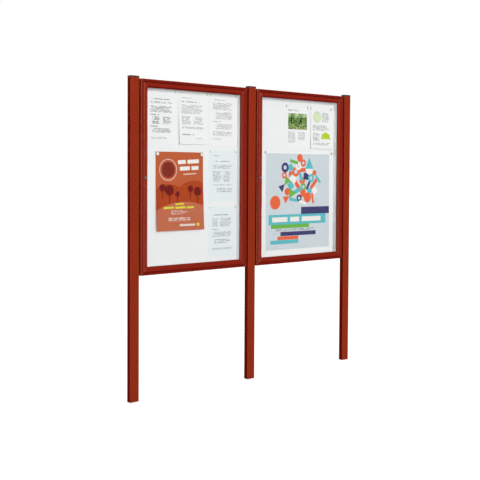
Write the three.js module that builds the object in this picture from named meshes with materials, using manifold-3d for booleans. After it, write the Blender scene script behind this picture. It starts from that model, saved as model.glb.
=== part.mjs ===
// Lockable notice board: two equal glazed cases hung side by side between three posts.
// Millimetres, +Z up. The front faces -Y, X runs along the board, the ground is at Z = 0
// and the origin is on the ground under the board's middle.

import * as THREE from 'three';
import * as BufferGeometryUtils from 'three/addons/utils/BufferGeometryUtils.js';
import Module from 'manifold-3d';

const wasm = await Module();
wasm.setup();

// Posts: rectangular aluminium tube, the wide side to the front
const postLength = 1742;
const postWidth = 56;
const postDepth = 32;
const postWall = 2.5;
const postCornerRadius = 3;

// Post caps: a black plate over the tube with a skirt pushed into it
const capThickness = 8;
const capOverhang = 0.8;
const capEdge = 1.2;
const capSkirtDepth = 22;
const capSkirtWall = 2;

// Cases
const caseWidth = 750;
const caseHeight = 1060;
const caseDepth = 56;
const caseToPost = 11;
const caseDrop = 12;

// Fits
const fitGap = 0.3;
const mitreGap = 0.3;
const overrun = 5;

// Body frame profile, inset from the case's outside and depth from its front
const frameWall = 2.5;
const frameCorner = 1.5;
const rimWidth = 14;
const rimThickness = 3;
const rimCorner = 0.8;
const jambWall = 2.5;
const stopDepth = 20;
const stopReach = 20;
const stopThickness = 2.5;
const lipWidth = 14;
const lipThickness = 2.5;

// Door profile
const doorGap = 4;
const doorThickness = 17.5;
const doorFaceWidth = 20;
const doorCorner = 1.2;
const bevelWidth = 7;
const bevelDepth = 6;
const bevelLand = 1.5;
const doorWall = 2.2;
const doorBackBevelWidth = 2;
const doorBackBevelDepth = 4;
const doorBackWall = 2;

// Glazing
const glassThickness = 4;
const glassInDoor = 6.5;
const glassCorner = 2;
const gasketLip = 1.4;
const gasketBase = 1.4;
const gasketRecess = 0.4;

// Door seal on the back of the door
const sealInset = 27;
const sealWidth = 5;
const sealShoulder = 1.1;
const sealCrown = 2;

// Back panel and display pan
const backPanelThickness = 1.2;
const backPanelInset = 3;
const panSheet = 1.2;
const panInset = 37;
const panFlangeInset = 16;

// Corner cleats, pressed into the upright members and slid into the level ones
const frameCleatReach = 42;
const doorCleatReach = 45;
const cleatPress = 0.2;

// Door pivots
const pivotInset = 26;
const pivotDepth = 8;
const pivotPinRadius = 2.5;
const pivotPinHead = 4;
const pivotPinReach = 33;
const pivotCollarRadius = 5.5;

// Cam lock
const lockInset = 28;
const lockFaceRadius = 9;
const lockFaceThickness = 2;
const lockBarrelRadius = 6;
const lockBarrelReach = 23.6;
const lockFaceEdge = 0.8;
const lockPlugRadius = 4;
const lockPlugProud = 0.4;
const lockKeywayWidth = 1.1;
const lockKeywayHeight = 5.4;
const lockKeywayDepth = 2;
const lockNutAcross = 16;
const lockNutThickness = 3.4;
const camLength = 24;
const camTail = 7;
const camWidth = 10;
const camThickness = 2;
const camSquare = 6;
const camStudRadius = 2.5;
const camStudProud = 1;
const camNutAcross = 9;
const camNutThickness = 3;
const notchMargin = 3.5;

// Brackets between the cases and the posts, and their screws
const bracketSheet = 3;
const bracketHeight = 40;
const bracketPostLeg = 24;
const bracketCaseLeg = 22;
const bracketFromCorner = 120;
const bracketBend = 1.5;
const screwRadius = 3;
const screwReach = 9;
const screwHeadAcross = 10;
const screwHeadThickness = 4;
const postScrewFromEdge = 13;
const caseScrewFromBend = 11;

// Sheets on the backing. The left pan is cut for three notices across and three up.
const paperThickness = 0.5;
const noticeColumnCount = 3;
const noticeRowCount = 3;
const noticeSideMargin = 18;
const noticeWideGap = 15;
const noticeNarrowGap = 7;
const noticeFarMargin = 3.6;
const noticeTopMargin = 8;
const noticeRowGap = 28.5;
const noticeFootMargin = 27.6;
const hungUneven = 1.5;
const leftPosterSideMargin = 89;
const leftPosterGap = 41;
const leftPosterDrop = 44;
const leftPosterFootMargin = 193.6;
const smallNoticeWidth = 204;
const smallNoticeHeight = 266;
const smallNoticeGap = 10;
const smallNoticeFarMargin = 14.6;
const smallNoticeTopMargin = 39;
const rightPosterSideMargin = 66;
const rightPosterFarMargin = 7.6;
const rightPosterDrop = 25;
const rightPosterFootMargin = 7.6;

// Round magnets at both top corners of each sheet
const smallMagnetRadius = 5;
const smallMagnetThickness = 3;
const smallMagnetInset = 9;
const posterMagnetRadius = 10;
const posterMagnetThickness = 5;
const posterMagnetInset = 12;
const thickMagnetRadius = 7.5;
const thickMagnetThickness = 8;
const thickMagnetInset = 10;

// Facets
const cornerFacets = 3;
const roundFacets = 32;
const smallFacets = 16;

// Worked out from the sizes above
const postSpacing = caseWidth + 2 * caseToPost + postWidth;
const lockProud = fitGap + lockFaceThickness + lockPlugProud;
const frontY = -(caseDepth - lockProud) / 2;
const postMiddleY = frontY + postDepth / 2;
const caseTop = postLength + capThickness - caseDrop;
const caseMiddle = caseTop - caseHeight / 2;
const jambInner = rimWidth;
const jambOuter = rimWidth - jambWall;
const stopBack = stopDepth + stopThickness;
const stopInner = rimWidth + stopReach;
const lipDepth = caseDepth - lipThickness;
const doorInset = rimWidth + doorGap;
const doorFaceInner = doorInset + doorFaceWidth;
const windowInset = doorFaceInner + bevelWidth;
const pocketFront = bevelDepth + bevelLand;
const pocketThickness = glassThickness + 2 * gasketLip + 4 * fitGap;
const pocketBack = pocketFront + pocketThickness;
const gasketInset = windowInset - glassInDoor - gasketBase - fitGap;
const pocketInset = gasketInset - fitGap;
const glassInset = windowInset - glassInDoor;
const glassFront = pocketFront + 2 * fitGap + gasketLip;
const chamberOuter = doorInset + doorWall;
const chamberInner = pocketInset - doorWall;
const chamberFront = doorBackWall;
const chamberBack = doorThickness - doorBackWall;
const backPanelBack = lipDepth - fitGap;
const backPanelFront = backPanelBack - backPanelThickness;
const panBack = backPanelFront - fitGap;
const panFront = panBack - panSheet;
const panFlangeFront = stopBack + fitGap;
const panInner = panInset + panSheet;
const pinHole = pivotPinRadius + fitGap;
const screwHole = screwRadius + fitGap;

const panClearWidth = caseWidth - 2 * panInner;
const panClearHeight = caseHeight - 2 * panInner;

// Sheets, each placed by its left and top edge from the pan's inner corner
const noticeMargins = noticeSideMargin + noticeWideGap + noticeNarrowGap + noticeFarMargin;
const noticeWidth = (panClearWidth - noticeMargins) / noticeColumnCount;
const noticeRows = noticeTopMargin + (noticeRowCount - 1) * noticeRowGap + noticeFootMargin;
const noticeHeight = (panClearHeight - noticeRows) / noticeRowCount;
const middleColumn = noticeSideMargin + noticeWidth + noticeWideGap;
const farColumn = middleColumn + noticeWidth + noticeNarrowGap;
const rowPitch = noticeHeight + noticeRowGap;
const notice = { width: noticeWidth, height: noticeHeight };
const leftNotices = [
  { ...notice, left: noticeSideMargin, top: noticeTopMargin },
  { ...notice, left: middleColumn, top: noticeTopMargin - hungUneven },
  { ...notice, left: farColumn, top: noticeTopMargin + hungUneven },
  { ...notice, left: farColumn, top: noticeTopMargin + rowPitch },
  { ...notice, left: farColumn, top: noticeTopMargin + 2 * rowPitch },
];
const leftPosterTop = noticeTopMargin + noticeHeight + leftPosterDrop;
const leftPoster = {
  left: leftPosterSideMargin,
  top: leftPosterTop,
  width: farColumn - leftPosterGap - leftPosterSideMargin,
  height: panClearHeight - leftPosterTop - leftPosterFootMargin,
};
const smallNotice = { width: smallNoticeWidth, height: smallNoticeHeight };
const outerNoticeLeft = panClearWidth - smallNoticeFarMargin - smallNoticeWidth;
const innerNoticeLeft = outerNoticeLeft - smallNoticeGap - smallNoticeWidth;
const rightNotices = [
  { ...smallNotice, left: innerNoticeLeft, top: smallNoticeTopMargin },
  { ...smallNotice, left: outerNoticeLeft, top: smallNoticeTopMargin + hungUneven },
];
const rightPosterTop = smallNoticeTopMargin + smallNoticeHeight + rightPosterDrop;
const rightPoster = {
  left: rightPosterSideMargin,
  top: rightPosterTop,
  width: panClearWidth - rightPosterSideMargin - rightPosterFarMargin,
  height: panClearHeight - rightPosterTop - rightPosterFootMargin,
};
const magnets = {
  small: { radius: smallMagnetRadius, thickness: smallMagnetThickness, inset: smallMagnetInset },
  poster: { radius: posterMagnetRadius, thickness: posterMagnetThickness, inset: posterMagnetInset },
  thick: { radius: thickMagnetRadius, thickness: thickMagnetThickness, inset: thickMagnetInset },
};

const paint = { color: 0x8c2a18, roughness: 0.45, metalness: 0.1 };
const finishes = {
  post: { color: 0x94301b, roughness: 0.45, metalness: 0.1 },
  frame: { ...paint },
  door: { ...paint, color: 0x8a2118 },
  cap: { color: 0x1c1412, roughness: 0.6, metalness: 0 },
  steel: { color: 0x9a9c9e, roughness: 0.4, metalness: 0.9 },
  darkSteel: { color: 0x2c2b2a, roughness: 0.5, metalness: 0.6 },
  nickel: { color: 0xb4b2ac, roughness: 0.3, metalness: 1 },
  alloy: { color: 0xa9abad, roughness: 0.5, metalness: 0.8 },
  white: { color: 0xebebeb, roughness: 0.5, metalness: 0 },
  zinc: { color: 0xb9bcbf, roughness: 0.5, metalness: 0.6 },
  glass: { color: 0xdfeeea, roughness: 0.05, metalness: 0, transparent: true, opacity: 0.3 },
  rubber: { color: 0x1a1a1a, roughness: 0.8, metalness: 0 },
  paper: { color: 0xf2f2ee, roughness: 0.9, metalness: 0 },
  warmPrint: { color: 0xb8613f, roughness: 0.7, metalness: 0 },
  coolPrint: { color: 0xcdd6dc, roughness: 0.7, metalness: 0 },
};

// Solids and booleans

function toSolid(geometry) {
  const bare = geometry.clone();
  bare.deleteAttribute('normal');
  bare.deleteAttribute('uv');
  const merged = BufferGeometryUtils.mergeVertices(bare);
  return new wasm.Manifold(new wasm.Mesh({
    numProp: 3,
    vertProperties: new Float32Array(merged.attributes.position.array),
    triVerts: new Uint32Array(merged.index.array),
  }));
}

function fromSolid(solid) {
  const mesh = solid.getMesh();
  const geometry = new THREE.BufferGeometry();
  geometry.setAttribute('position', new THREE.BufferAttribute(new Float32Array(mesh.vertProperties), 3));
  geometry.setIndex(new THREE.BufferAttribute(new Uint32Array(mesh.triVerts), 1));
  return geometry;
}

function cut(geometry, cutters) {
  let solid = toSolid(geometry);
  for (const cutter of cutters) {
    solid = solid.subtract(toSolid(cutter));
  }
  return fromSolid(solid);
}

function join(geometries) {
  let solid = toSolid(geometries[0]);
  for (const geometry of geometries.slice(1)) {
    solid = solid.add(toSolid(geometry));
  }
  return fromSolid(solid);
}

function piece(name, geometry, finish) {
  const plain = geometry.index ? geometry.toNonIndexed() : geometry;
  plain.computeVertexNormals();
  const mesh = new THREE.Mesh(plain, new THREE.MeshStandardMaterial(finish));
  mesh.name = name;
  return mesh;
}

// Outlines

function outline(points) {
  return new THREE.Shape(points.map(([x, y]) => new THREE.Vector2(x, y)));
}

function roundedRectangle(width, height, radius, PathType = THREE.Shape) {
  const shape = new PathType();
  const x = width / 2;
  const y = height / 2;
  const quarter = Math.PI / 2;
  shape.absarc(x - radius, y - radius, radius, 0, quarter, false);
  shape.absarc(radius - x, y - radius, radius, quarter, 2 * quarter, false);
  shape.absarc(radius - x, radius - y, radius, 2 * quarter, 3 * quarter, false);
  shape.absarc(x - radius, radius - y, radius, 3 * quarter, 4 * quarter, false);
  shape.closePath();
  return shape;
}

function polygonPrism(acrossFlats, length, bore) {
  const corner = acrossFlats / Math.sqrt(3);
  const points = [0, 1, 2, 3, 4, 5].map((k) => {
    const angle = k * Math.PI / 3;
    return [corner * Math.cos(angle), corner * Math.sin(angle)];
  });
  const shape = outline(points);
  if (bore) {
    const hole = new THREE.Path();
    hole.absarc(0, 0, bore, 0, 2 * Math.PI, true);
    shape.holes.push(hole);
  }
  return extruded(shape, length, roundFacets / 4);
}

function extruded(shape, depth, curveSegments = cornerFacets) {
  return new THREE.ExtrudeGeometry(shape, { depth, bevelEnabled: false, steps: 1, curveSegments });
}

// Rods stand along the depth axis until they are turned
function rod(radius, length, facets = smallFacets) {
  return new THREE.CylinderGeometry(radius, radius, length, facets);
}

function uprightRod(radius, length, facets = smallFacets) {
  return rod(radius, length, facets).rotateX(Math.PI / 2);
}

function sidewaysRod(radius, length, facets = smallFacets) {
  return rod(radius, length, facets).rotateZ(Math.PI / 2);
}

function lathed(points, facets = roundFacets) {
  const profile = [...points, points[0]].map(([r, y]) => new THREE.Vector2(r, y));
  return new THREE.LatheGeometry(profile, facets);
}

// A mitred member of a rectangle. Its profile is drawn as inset from the outside and depth
// from the front, and runs the length of one side with both ends cut at 45 degrees.

function mitredMember(profile, length) {
  const geometry = extruded(profile, length);
  const position = geometry.attributes.position;
  const trim = mitreGap / Math.SQRT2;
  for (let i = 0; i < position.count; i += 1) {
    const inset = position.getX(i) + trim;
    const atFarEnd = position.getZ(i) > length / 2;
    position.setZ(i, atFarEnd ? length - inset : inset);
  }
  return geometry.rotateY(-Math.PI / 2);
}

const sideTurn = { bottom: 0, left: Math.PI / 2, top: Math.PI, right: -Math.PI / 2 };

function sideLengths(side) {
  const upright = side === 'left' || side === 'right';
  return upright ? { along: caseHeight, across: caseWidth } : { along: caseWidth, across: caseHeight };
}

// The member comes out lying along the bottom; turning it about the depth axis seats it.
function caseMember(profile, side) {
  const { along, across } = sideLengths(side);
  const geometry = mitredMember(profile, along);
  geometry.translate(along / 2, 0, -across / 2);
  return geometry.rotateY(sideTurn[side]);
}

// A ring that follows the case's four sides with mitred corners, lofted from one profile
function caseRing(points) {
  const corners = [[-1, -1], [1, -1], [1, 1], [-1, 1]];
  const vertices = [];
  for (const [sideX, sideZ] of corners) {
    for (const [inset, depth] of points) {
      vertices.push(sideX * (caseWidth / 2 - inset), depth, sideZ * (caseHeight / 2 - inset));
    }
  }
  const count = points.length;
  const triangles = [];
  for (let corner = 0; corner < corners.length; corner += 1) {
    const here = corner * count;
    const next = ((corner + 1) % corners.length) * count;
    for (let k = 0; k < count; k += 1) {
      const l = (k + 1) % count;
      triangles.push(here + k, next + k, next + l, here + k, next + l, here + l);
    }
  }
  const geometry = new THREE.BufferGeometry();
  geometry.setAttribute('position', new THREE.Float32BufferAttribute(vertices, 3));
  geometry.setIndex(triangles);
  return geometry;
}

// A flat plate parallel to the front, drawn about the case's centre
function casePlate(width, height, radius, front, thickness) {
  const geometry = extruded(roundedRectangle(width, height, radius), thickness);
  return geometry.rotateX(Math.PI / 2).translate(0, front + thickness, 0);
}

function boxBetween(low, high) {
  const size = high.map((value, k) => value - low[k]);
  const middle = high.map((value, k) => (value + low[k]) / 2);
  return new THREE.BoxGeometry(...size).translate(...middle);
}

// Body frame profile: rim, jamb and door stop at the front, a lip at the back
function frameProfile() {
  const shape = new THREE.Shape();
  shape.moveTo(0, frameCorner);
  shape.quadraticCurveTo(0, 0, frameCorner, 0);
  shape.lineTo(rimWidth - rimCorner, 0);
  shape.quadraticCurveTo(rimWidth, 0, rimWidth, rimCorner);
  shape.lineTo(jambInner, stopDepth);
  shape.lineTo(stopInner, stopDepth);
  shape.lineTo(stopInner, stopBack);
  shape.lineTo(jambOuter, stopBack);
  shape.lineTo(jambOuter, rimThickness);
  shape.lineTo(frameWall, rimThickness);
  shape.lineTo(frameWall, lipDepth);
  shape.lineTo(lipWidth, lipDepth);
  shape.lineTo(lipWidth, caseDepth);
  shape.lineTo(frameCorner, caseDepth);
  shape.quadraticCurveTo(0, caseDepth, 0, caseDepth - frameCorner);
  shape.closePath();
  return shape;
}

// Door profile: flat face and bevel at the front, glazing pocket inside, hollow chamber outside
function doorProfile() {
  const shape = new THREE.Shape();
  shape.moveTo(doorInset, doorCorner);
  shape.quadraticCurveTo(doorInset, 0, doorInset + doorCorner, 0);
  shape.lineTo(doorFaceInner, 0);
  shape.lineTo(windowInset, bevelDepth);
  shape.lineTo(windowInset, pocketFront);
  shape.lineTo(pocketInset, pocketFront);
  shape.lineTo(pocketInset, pocketBack);
  shape.lineTo(windowInset, pocketBack);
  shape.lineTo(windowInset, doorThickness);
  shape.lineTo(doorInset + doorBackBevelWidth, doorThickness);
  shape.lineTo(doorInset, doorThickness - doorBackBevelDepth);
  shape.closePath();
  const chamber = new THREE.Path();
  chamber.moveTo(chamberOuter, chamberFront);
  chamber.lineTo(chamberOuter, chamberBack - doorBackBevelDepth + doorBackWall);
  chamber.lineTo(chamberOuter + doorBackBevelWidth, chamberBack);
  chamber.lineTo(chamberInner, chamberBack);
  chamber.lineTo(chamberInner, chamberFront);
  chamber.closePath();
  shape.holes.push(chamber);
  return shape;
}

// Places in a case, seen from the middle of its front
const pivotX = caseWidth / 2 - pivotInset;
const lockX = lockInset - caseWidth / 2;
const lockNutCorner = lockNutAcross / Math.sqrt(3);
const notchOuter = lockInset - lockNutCorner - fitGap;
const bracketOffset = caseHeight / 2 - bracketFromCorner;
const bracketFront = postDepth + fitGap;
const bracketBack = bracketFront + bracketSheet;
const caseScrewDepth = bracketBack + caseScrewFromBend;
const postScrewFromMiddle = postWidth / 2 - postScrewFromEdge;

// The upright bore for a pivot pin, through the frame's jamb and into the door
function pinBore(upDown) {
  const outer = pivotPinHead - fitGap;
  const inner = pivotPinReach + fitGap;
  const middle = upDown * (caseHeight / 2 - (outer + inner) / 2);
  return uprightRod(pinHole, inner - outer).translate(pivotX, pivotDepth, middle);
}

// A box near a corner of the case, its sides given as insets from the case's outside
function cornerBox(sideX, sideZ, insetX, insetZ, front, back) {
  const xs = insetX.map((inset) => sideX * (caseWidth / 2 - inset)).sort((a, b) => a - b);
  const zs = insetZ.map((inset) => sideZ * (caseHeight / 2 - inset)).sort((a, b) => a - b);
  return boxBetween([xs[0], front, zs[0]], [xs[1], back, zs[1]]);
}

// An L-shaped cleat behind a mitre: its upright leg is pressed between the member's walls
function cornerCleat(sideX, sideZ, { outer, inner, pressed, front, back, reach, clear }) {
  const end = outer + reach;
  return [
    cornerBox(sideX, sideZ, [outer, end], [outer, inner], front, back),
    cornerBox(sideX, sideZ, [outer, inner], [outer, clear + overrun], front, back),
    cornerBox(sideX, sideZ, pressed, [clear, end], front, back),
  ];
}

const frameCleat = {
  outer: frameWall + fitGap,
  inner: jambOuter - fitGap,
  pressed: [frameWall - cleatPress, jambOuter + cleatPress],
  front: rimThickness + fitGap,
  back: stopDepth - fitGap,
  reach: frameCleatReach,
  clear: rimWidth + fitGap,
};

const doorCleat = {
  outer: chamberOuter + doorBackBevelWidth + fitGap,
  inner: chamberInner - fitGap,
  pressed: [chamberOuter + doorBackBevelWidth + fitGap, chamberInner + cleatPress],
  front: chamberFront + fitGap,
  back: chamberBack - fitGap,
  reach: doorCleatReach,
  clear: windowInset + fitGap,
};

// The members of one frame: the uprights carry the cleats, and only the lock side has no pin bore
const boreEnds = { top: [1], bottom: [-1], left: [], right: [-1, 1] };
const cleatSides = { left: -1, right: 1 };

function framedMember(profile, side, cleat, cutters) {
  const sideX = cleatSides[side];
  const cleats = sideX ? [-1, 1].flatMap((sideZ) => cornerCleat(sideX, sideZ, cleat)) : [];
  const bores = boreEnds[side].map(pinBore);
  return cut(join([caseMember(profile, side), ...cleats]), [...cutters, ...bores]);
}

// The lock passes a notch in the door stop and the pan's flange, tall enough for its upright cam
function lockNotch(front, back, inner) {
  const low = [notchOuter - caseWidth / 2, front, -lockNutCorner - notchMargin];
  const high = [inner - caseWidth / 2, back, camLength + notchMargin];
  return boxBetween(low, high);
}

function frameMember(side) {
  const cutters = [];
  if (side === 'left' || side === 'right') {
    const outward = side === 'left' ? -1 : 1;
    for (const z of [-bracketOffset, bracketOffset]) {
      const x = outward * (caseWidth - frameWall) / 2;
      cutters.push(sidewaysRod(screwHole, frameWall + overrun).translate(x, caseScrewDepth, z));
    }
  }
  if (side === 'left') {
    cutters.push(lockNotch(stopDepth - overrun, stopBack + overrun, stopInner + overrun));
  }
  return framedMember(frameProfile(), side, frameCleat, cutters);
}

function doorMember(side) {
  const cutters = [];
  if (side === 'left') {
    const hole = rod(lockBarrelRadius + fitGap, doorThickness + 2 * overrun, roundFacets);
    cutters.push(hole.translate(lockX, doorThickness / 2, 0));
  }
  return framedMember(doorProfile(), side, doorCleat, cutters);
}

// A pivot pin with a collar that fills the gap between frame and door
function pivotPin(upDown) {
  const top = caseHeight / 2 - pivotPinHead;
  const bottom = caseHeight / 2 - pivotPinReach;
  const pin = uprightRod(pivotPinRadius, top - bottom).translate(0, 0, (top + bottom) / 2);
  const collarMiddle = caseHeight / 2 - jambInner - doorGap / 2;
  const collar = uprightRod(pivotCollarRadius, doorGap - 2 * fitGap).translate(0, 0, collarMiddle);
  const turned = upDown > 0 ? 0 : Math.PI;
  return join([pin, collar]).rotateX(turned).translate(pivotX, pivotDepth, 0);
}

function displayPan() {
  const flangeBack = panFlangeFront + panSheet;
  const sides = caseRing([
    [panFlangeInset, panFlangeFront],
    [panInner, panFlangeFront],
    [panInner, panBack],
    [panInset, panBack],
    [panInset, flangeBack],
    [panFlangeInset, flangeBack],
  ]);
  const base = casePlate(caseWidth - 2 * panInset, caseHeight - 2 * panInset, panSheet, panFront, panSheet);
  return cut(join([sides, base]), [lockNotch(stopDepth, flangeBack + fitGap, panInset - fitGap)]);
}

function glazingGasket() {
  const lipInner = windowInset - gasketRecess;
  const front = pocketFront + fitGap;
  const back = pocketBack - fitGap;
  return caseRing([
    [gasketInset, front],
    [lipInner, front],
    [lipInner, front + gasketLip],
    [gasketInset + gasketBase, front + gasketLip],
    [gasketInset + gasketBase, back - gasketLip],
    [lipInner, back - gasketLip],
    [lipInner, back],
    [gasketInset, back],
  ]);
}

// The seal lies on the door's back and is left out round the lock
function doorSeal() {
  const front = doorThickness + fitGap;
  const back = stopDepth - fitGap;
  const crownInset = sealInset + (sealWidth - sealCrown) / 2;
  const ring = caseRing([
    [sealInset, front],
    [sealInset + sealWidth, front],
    [sealInset + sealWidth, front + sealShoulder],
    [crownInset + sealCrown, back],
    [crownInset, back],
    [sealInset, front + sealShoulder],
  ]);
  const left = sealInset - caseWidth / 2;
  const height = lockNutCorner + notchMargin / 2;
  const gap = boxBetween(
    [left - overrun, front - overrun, -height],
    [left + sealWidth + overrun, back + overrun, height],
  );
  return cut(ring, [gap]);
}

// Cam lock: a flanged barrel held by a nut, and the turning plug with its cam

function lockBarrel() {
  const bore = lockPlugRadius + fitGap;
  const face = -fitGap - lockFaceThickness;
  return lathed([
    [bore, face],
    [lockFaceRadius - lockFaceEdge, face],
    [lockFaceRadius, face + lockFaceEdge],
    [lockFaceRadius, -fitGap],
    [lockBarrelRadius, -fitGap],
    [lockBarrelRadius, lockBarrelReach],
    [bore, lockBarrelReach],
  ]).translate(lockX, 0, 0);
}

function hexNut(across, thickness, bore, front) {
  return polygonPrism(across, thickness, bore).rotateX(Math.PI / 2).translate(0, front + thickness, 0);
}

function lockNut() {
  const bore = lockBarrelRadius + fitGap;
  return hexNut(lockNutAcross, lockNutThickness, bore, doorThickness + fitGap).translate(lockX, 0, 0);
}

const camFront = lockBarrelReach + 2 * fitGap;
const camBack = camFront + camThickness;
const camNutFront = camBack + fitGap;

// The plug runs on as the stud that holds the cam under its nut
function lockPlug() {
  const front = -fitGap - lockFaceThickness - lockPlugProud;
  const shoulder = lockBarrelReach + fitGap;
  const studEnd = camNutFront + camNutThickness + camStudProud;
  const plug = rod(lockPlugRadius, shoulder - front, roundFacets).translate(0, (front + shoulder) / 2, 0);
  const halfSquare = camSquare / 2;
  const seat = boxBetween([-halfSquare, shoulder - overrun, -halfSquare], [halfSquare, camBack, halfSquare]);
  const stud = rod(camStudRadius, studEnd - shoulder).translate(0, (studEnd + shoulder) / 2, 0);
  const keyway = boxBetween(
    [-lockKeywayWidth / 2, front - overrun, -lockKeywayHeight / 2],
    [lockKeywayWidth / 2, front + lockKeywayDepth, lockKeywayHeight / 2],
  );
  const nut = hexNut(camNutAcross, camNutThickness, 0, camNutFront);
  return cut(join([plug, seat, stud, nut]), [keyway]).translate(lockX, 0, 0);
}

// The cam stands upright while the door is free and turns outward behind the jamb to lock it
function lockCam() {
  const half = camWidth / 2;
  const shape = new THREE.Shape();
  shape.moveTo(half, 0);
  shape.lineTo(half, camLength - half);
  shape.absarc(0, camLength - half, half, 0, Math.PI, false);
  shape.lineTo(-half, 0);
  shape.quadraticCurveTo(-half, -camTail, 0, -camTail);
  shape.quadraticCurveTo(half, -camTail, half, 0);
  shape.closePath();
  const seat = camSquare / 2 + fitGap;
  const hole = new THREE.Path();
  hole.moveTo(-seat, -seat);
  hole.lineTo(-seat, seat);
  hole.lineTo(seat, seat);
  hole.lineTo(seat, -seat);
  hole.closePath();
  shape.holes.push(hole);
  return extruded(shape, camThickness, roundFacets / 4).rotateX(Math.PI / 2).translate(lockX, camBack, 0);
}

// Brackets behind the posts, in plan. An outer post has an L that reaches one case, and the
// middle post has a U that reaches both. Each carries its screws, and is drawn from the post's
// middle across and from the front in depth.

const legOuter = postWidth / 2 + caseToPost - fitGap;
const legInner = legOuter - bracketSheet;
const legEnd = bracketFront + bracketCaseLeg;

function outerPostPlan(toward) {
  const free = toward * (postWidth / 2 - bracketPostLeg);
  const shape = new THREE.Shape();
  shape.moveTo(free, bracketFront);
  shape.lineTo(toward * legOuter - toward * bracketBend, bracketFront);
  shape.quadraticCurveTo(toward * legOuter, bracketFront, toward * legOuter, bracketFront + bracketBend);
  shape.lineTo(toward * legOuter, legEnd);
  shape.lineTo(toward * legInner, legEnd);
  shape.lineTo(toward * legInner, bracketBack);
  shape.lineTo(free, bracketBack);
  shape.closePath();
  return shape;
}

function middlePostPlan() {
  const shape = new THREE.Shape();
  shape.moveTo(bracketBend - legOuter, bracketFront);
  shape.lineTo(legOuter - bracketBend, bracketFront);
  shape.quadraticCurveTo(legOuter, bracketFront, legOuter, bracketFront + bracketBend);
  shape.lineTo(legOuter, legEnd);
  shape.lineTo(legInner, legEnd);
  shape.lineTo(legInner, bracketBack);
  shape.lineTo(-legInner, bracketBack);
  shape.lineTo(-legInner, legEnd);
  shape.lineTo(-legOuter, legEnd);
  shape.lineTo(-legOuter, bracketFront + bracketBend);
  shape.quadraticCurveTo(-legOuter, bracketFront, bracketBend - legOuter, bracketFront);
  shape.closePath();
  return shape;
}

// A screw with its head's underside at zero depth and its shank running to the front
function screw() {
  const reach = bracketSheet + screwReach;
  const length = reach + screwHeadThickness / 2;
  const shank = rod(screwRadius, length).translate(0, length / 2 - reach, 0);
  return join([shank, hexNut(screwHeadAcross, screwHeadThickness, 0, 0)]);
}

function bracket(plan, sides) {
  const plate = extruded(plan, bracketHeight).translate(0, 0, -bracketHeight / 2);
  const screws = sides.flatMap((toward) => [
    screw().translate(toward * postScrewFromMiddle, bracketBack, 0),
    screw().rotateZ(toward * Math.PI / 2).translate(toward * legInner, caseScrewDepth, 0),
  ]);
  return join([plate, ...screws]);
}

// Sheets on the backing

const sheetBack = panFront - fitGap;
const sheetFront = sheetBack - paperThickness;

function paperSheet({ left, top, width, height }, magnet) {
  const across = panInner - caseWidth / 2 + left + width / 2;
  const up = caseHeight / 2 - panInner - top - height / 2;
  const paper = boxBetween(
    [across - width / 2, sheetFront, up - height / 2],
    [across + width / 2, sheetBack, up + height / 2],
  );
  const length = magnet.thickness + paperThickness / 2;
  const depth = sheetFront - magnet.thickness + length / 2;
  const pins = [-1, 1].map((side) => {
    const x = across + side * (width / 2 - magnet.inset);
    return rod(magnet.radius, length).translate(x, depth, up + height / 2 - magnet.inset);
  });
  return join([paper, ...pins]);
}

// Posts

function post(screwXs) {
  const shape = roundedRectangle(postWidth, postDepth, postCornerRadius);
  const innerRadius = postCornerRadius / 2;
  shape.holes.push(roundedRectangle(postWidth - 2 * postWall, postDepth - 2 * postWall, innerRadius, THREE.Path));
  const tube = extruded(shape, postLength);
  const cutters = [];
  for (const x of screwXs) {
    for (const z of [-bracketOffset, bracketOffset]) {
      cutters.push(rod(screwHole, postWall + overrun).translate(x, (postDepth - postWall) / 2, caseMiddle + z));
    }
  }
  return cut(tube, cutters);
}

function postCap() {
  const plateHeight = capThickness - fitGap;
  const plateShape = roundedRectangle(
    postWidth + 2 * (capOverhang - capEdge),
    postDepth + 2 * (capOverhang - capEdge),
    postCornerRadius,
  );
  const plate = new THREE.ExtrudeGeometry(plateShape, {
    depth: plateHeight - 2 * capEdge,
    bevelThickness: capEdge,
    bevelSize: capEdge,
    bevelSegments: 2,
    curveSegments: cornerFacets,
    steps: 1,
  }).translate(0, 0, postLength + fitGap + capEdge);
  const outerWidth = postWidth - 2 * (postWall + fitGap);
  const outerDepth = postDepth - 2 * (postWall + fitGap);
  const skirtShape = roundedRectangle(outerWidth, outerDepth, postCornerRadius / 2);
  skirtShape.holes.push(roundedRectangle(
    outerWidth - 2 * capSkirtWall,
    outerDepth - 2 * capSkirtWall,
    postCornerRadius / 4,
    THREE.Path,
  ));
  const skirt = extruded(skirtShape, capSkirtDepth + 2 * capEdge).translate(0, 0, postLength - capSkirtDepth);
  return join([plate, skirt]);
}

// Assembly

const board = new THREE.Group();

const posts = [
  { name: 'left', x: -postSpacing, towardCases: [1] },
  { name: 'middle', x: 0, towardCases: [-1, 1] },
  { name: 'right', x: postSpacing, towardCases: [-1] },
];
const bracketHeights = { upper: bracketOffset, lower: -bracketOffset };
for (const { name, x, towardCases } of posts) {
  const screwXs = towardCases.map((toward) => toward * postScrewFromMiddle);
  const tube = piece(`${name}_post`, post(screwXs), finishes.post);
  tube.position.set(x, postMiddleY, 0);
  const cap = piece(`${name}_post_cap`, postCap(), finishes.cap);
  cap.position.set(x, postMiddleY, 0);
  board.add(tube, cap);
  const plan = towardCases.length > 1 ? middlePostPlan() : outerPostPlan(towardCases[0]);
  for (const [level, z] of Object.entries(bracketHeights)) {
    const strap = piece(`${name}_${level}_bracket`, bracket(plan, towardCases), finishes.steel);
    strap.position.set(x, frontY, caseMiddle + z);
    board.add(strap);
  }
}

const frameNames = { top: 'top', bottom: 'bottom', left: 'lock_side', right: 'hinge_side' };
const doorNames = { top: 'top_rail', bottom: 'bottom_rail', left: 'lock_stile', right: 'hinge_stile' };

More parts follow.
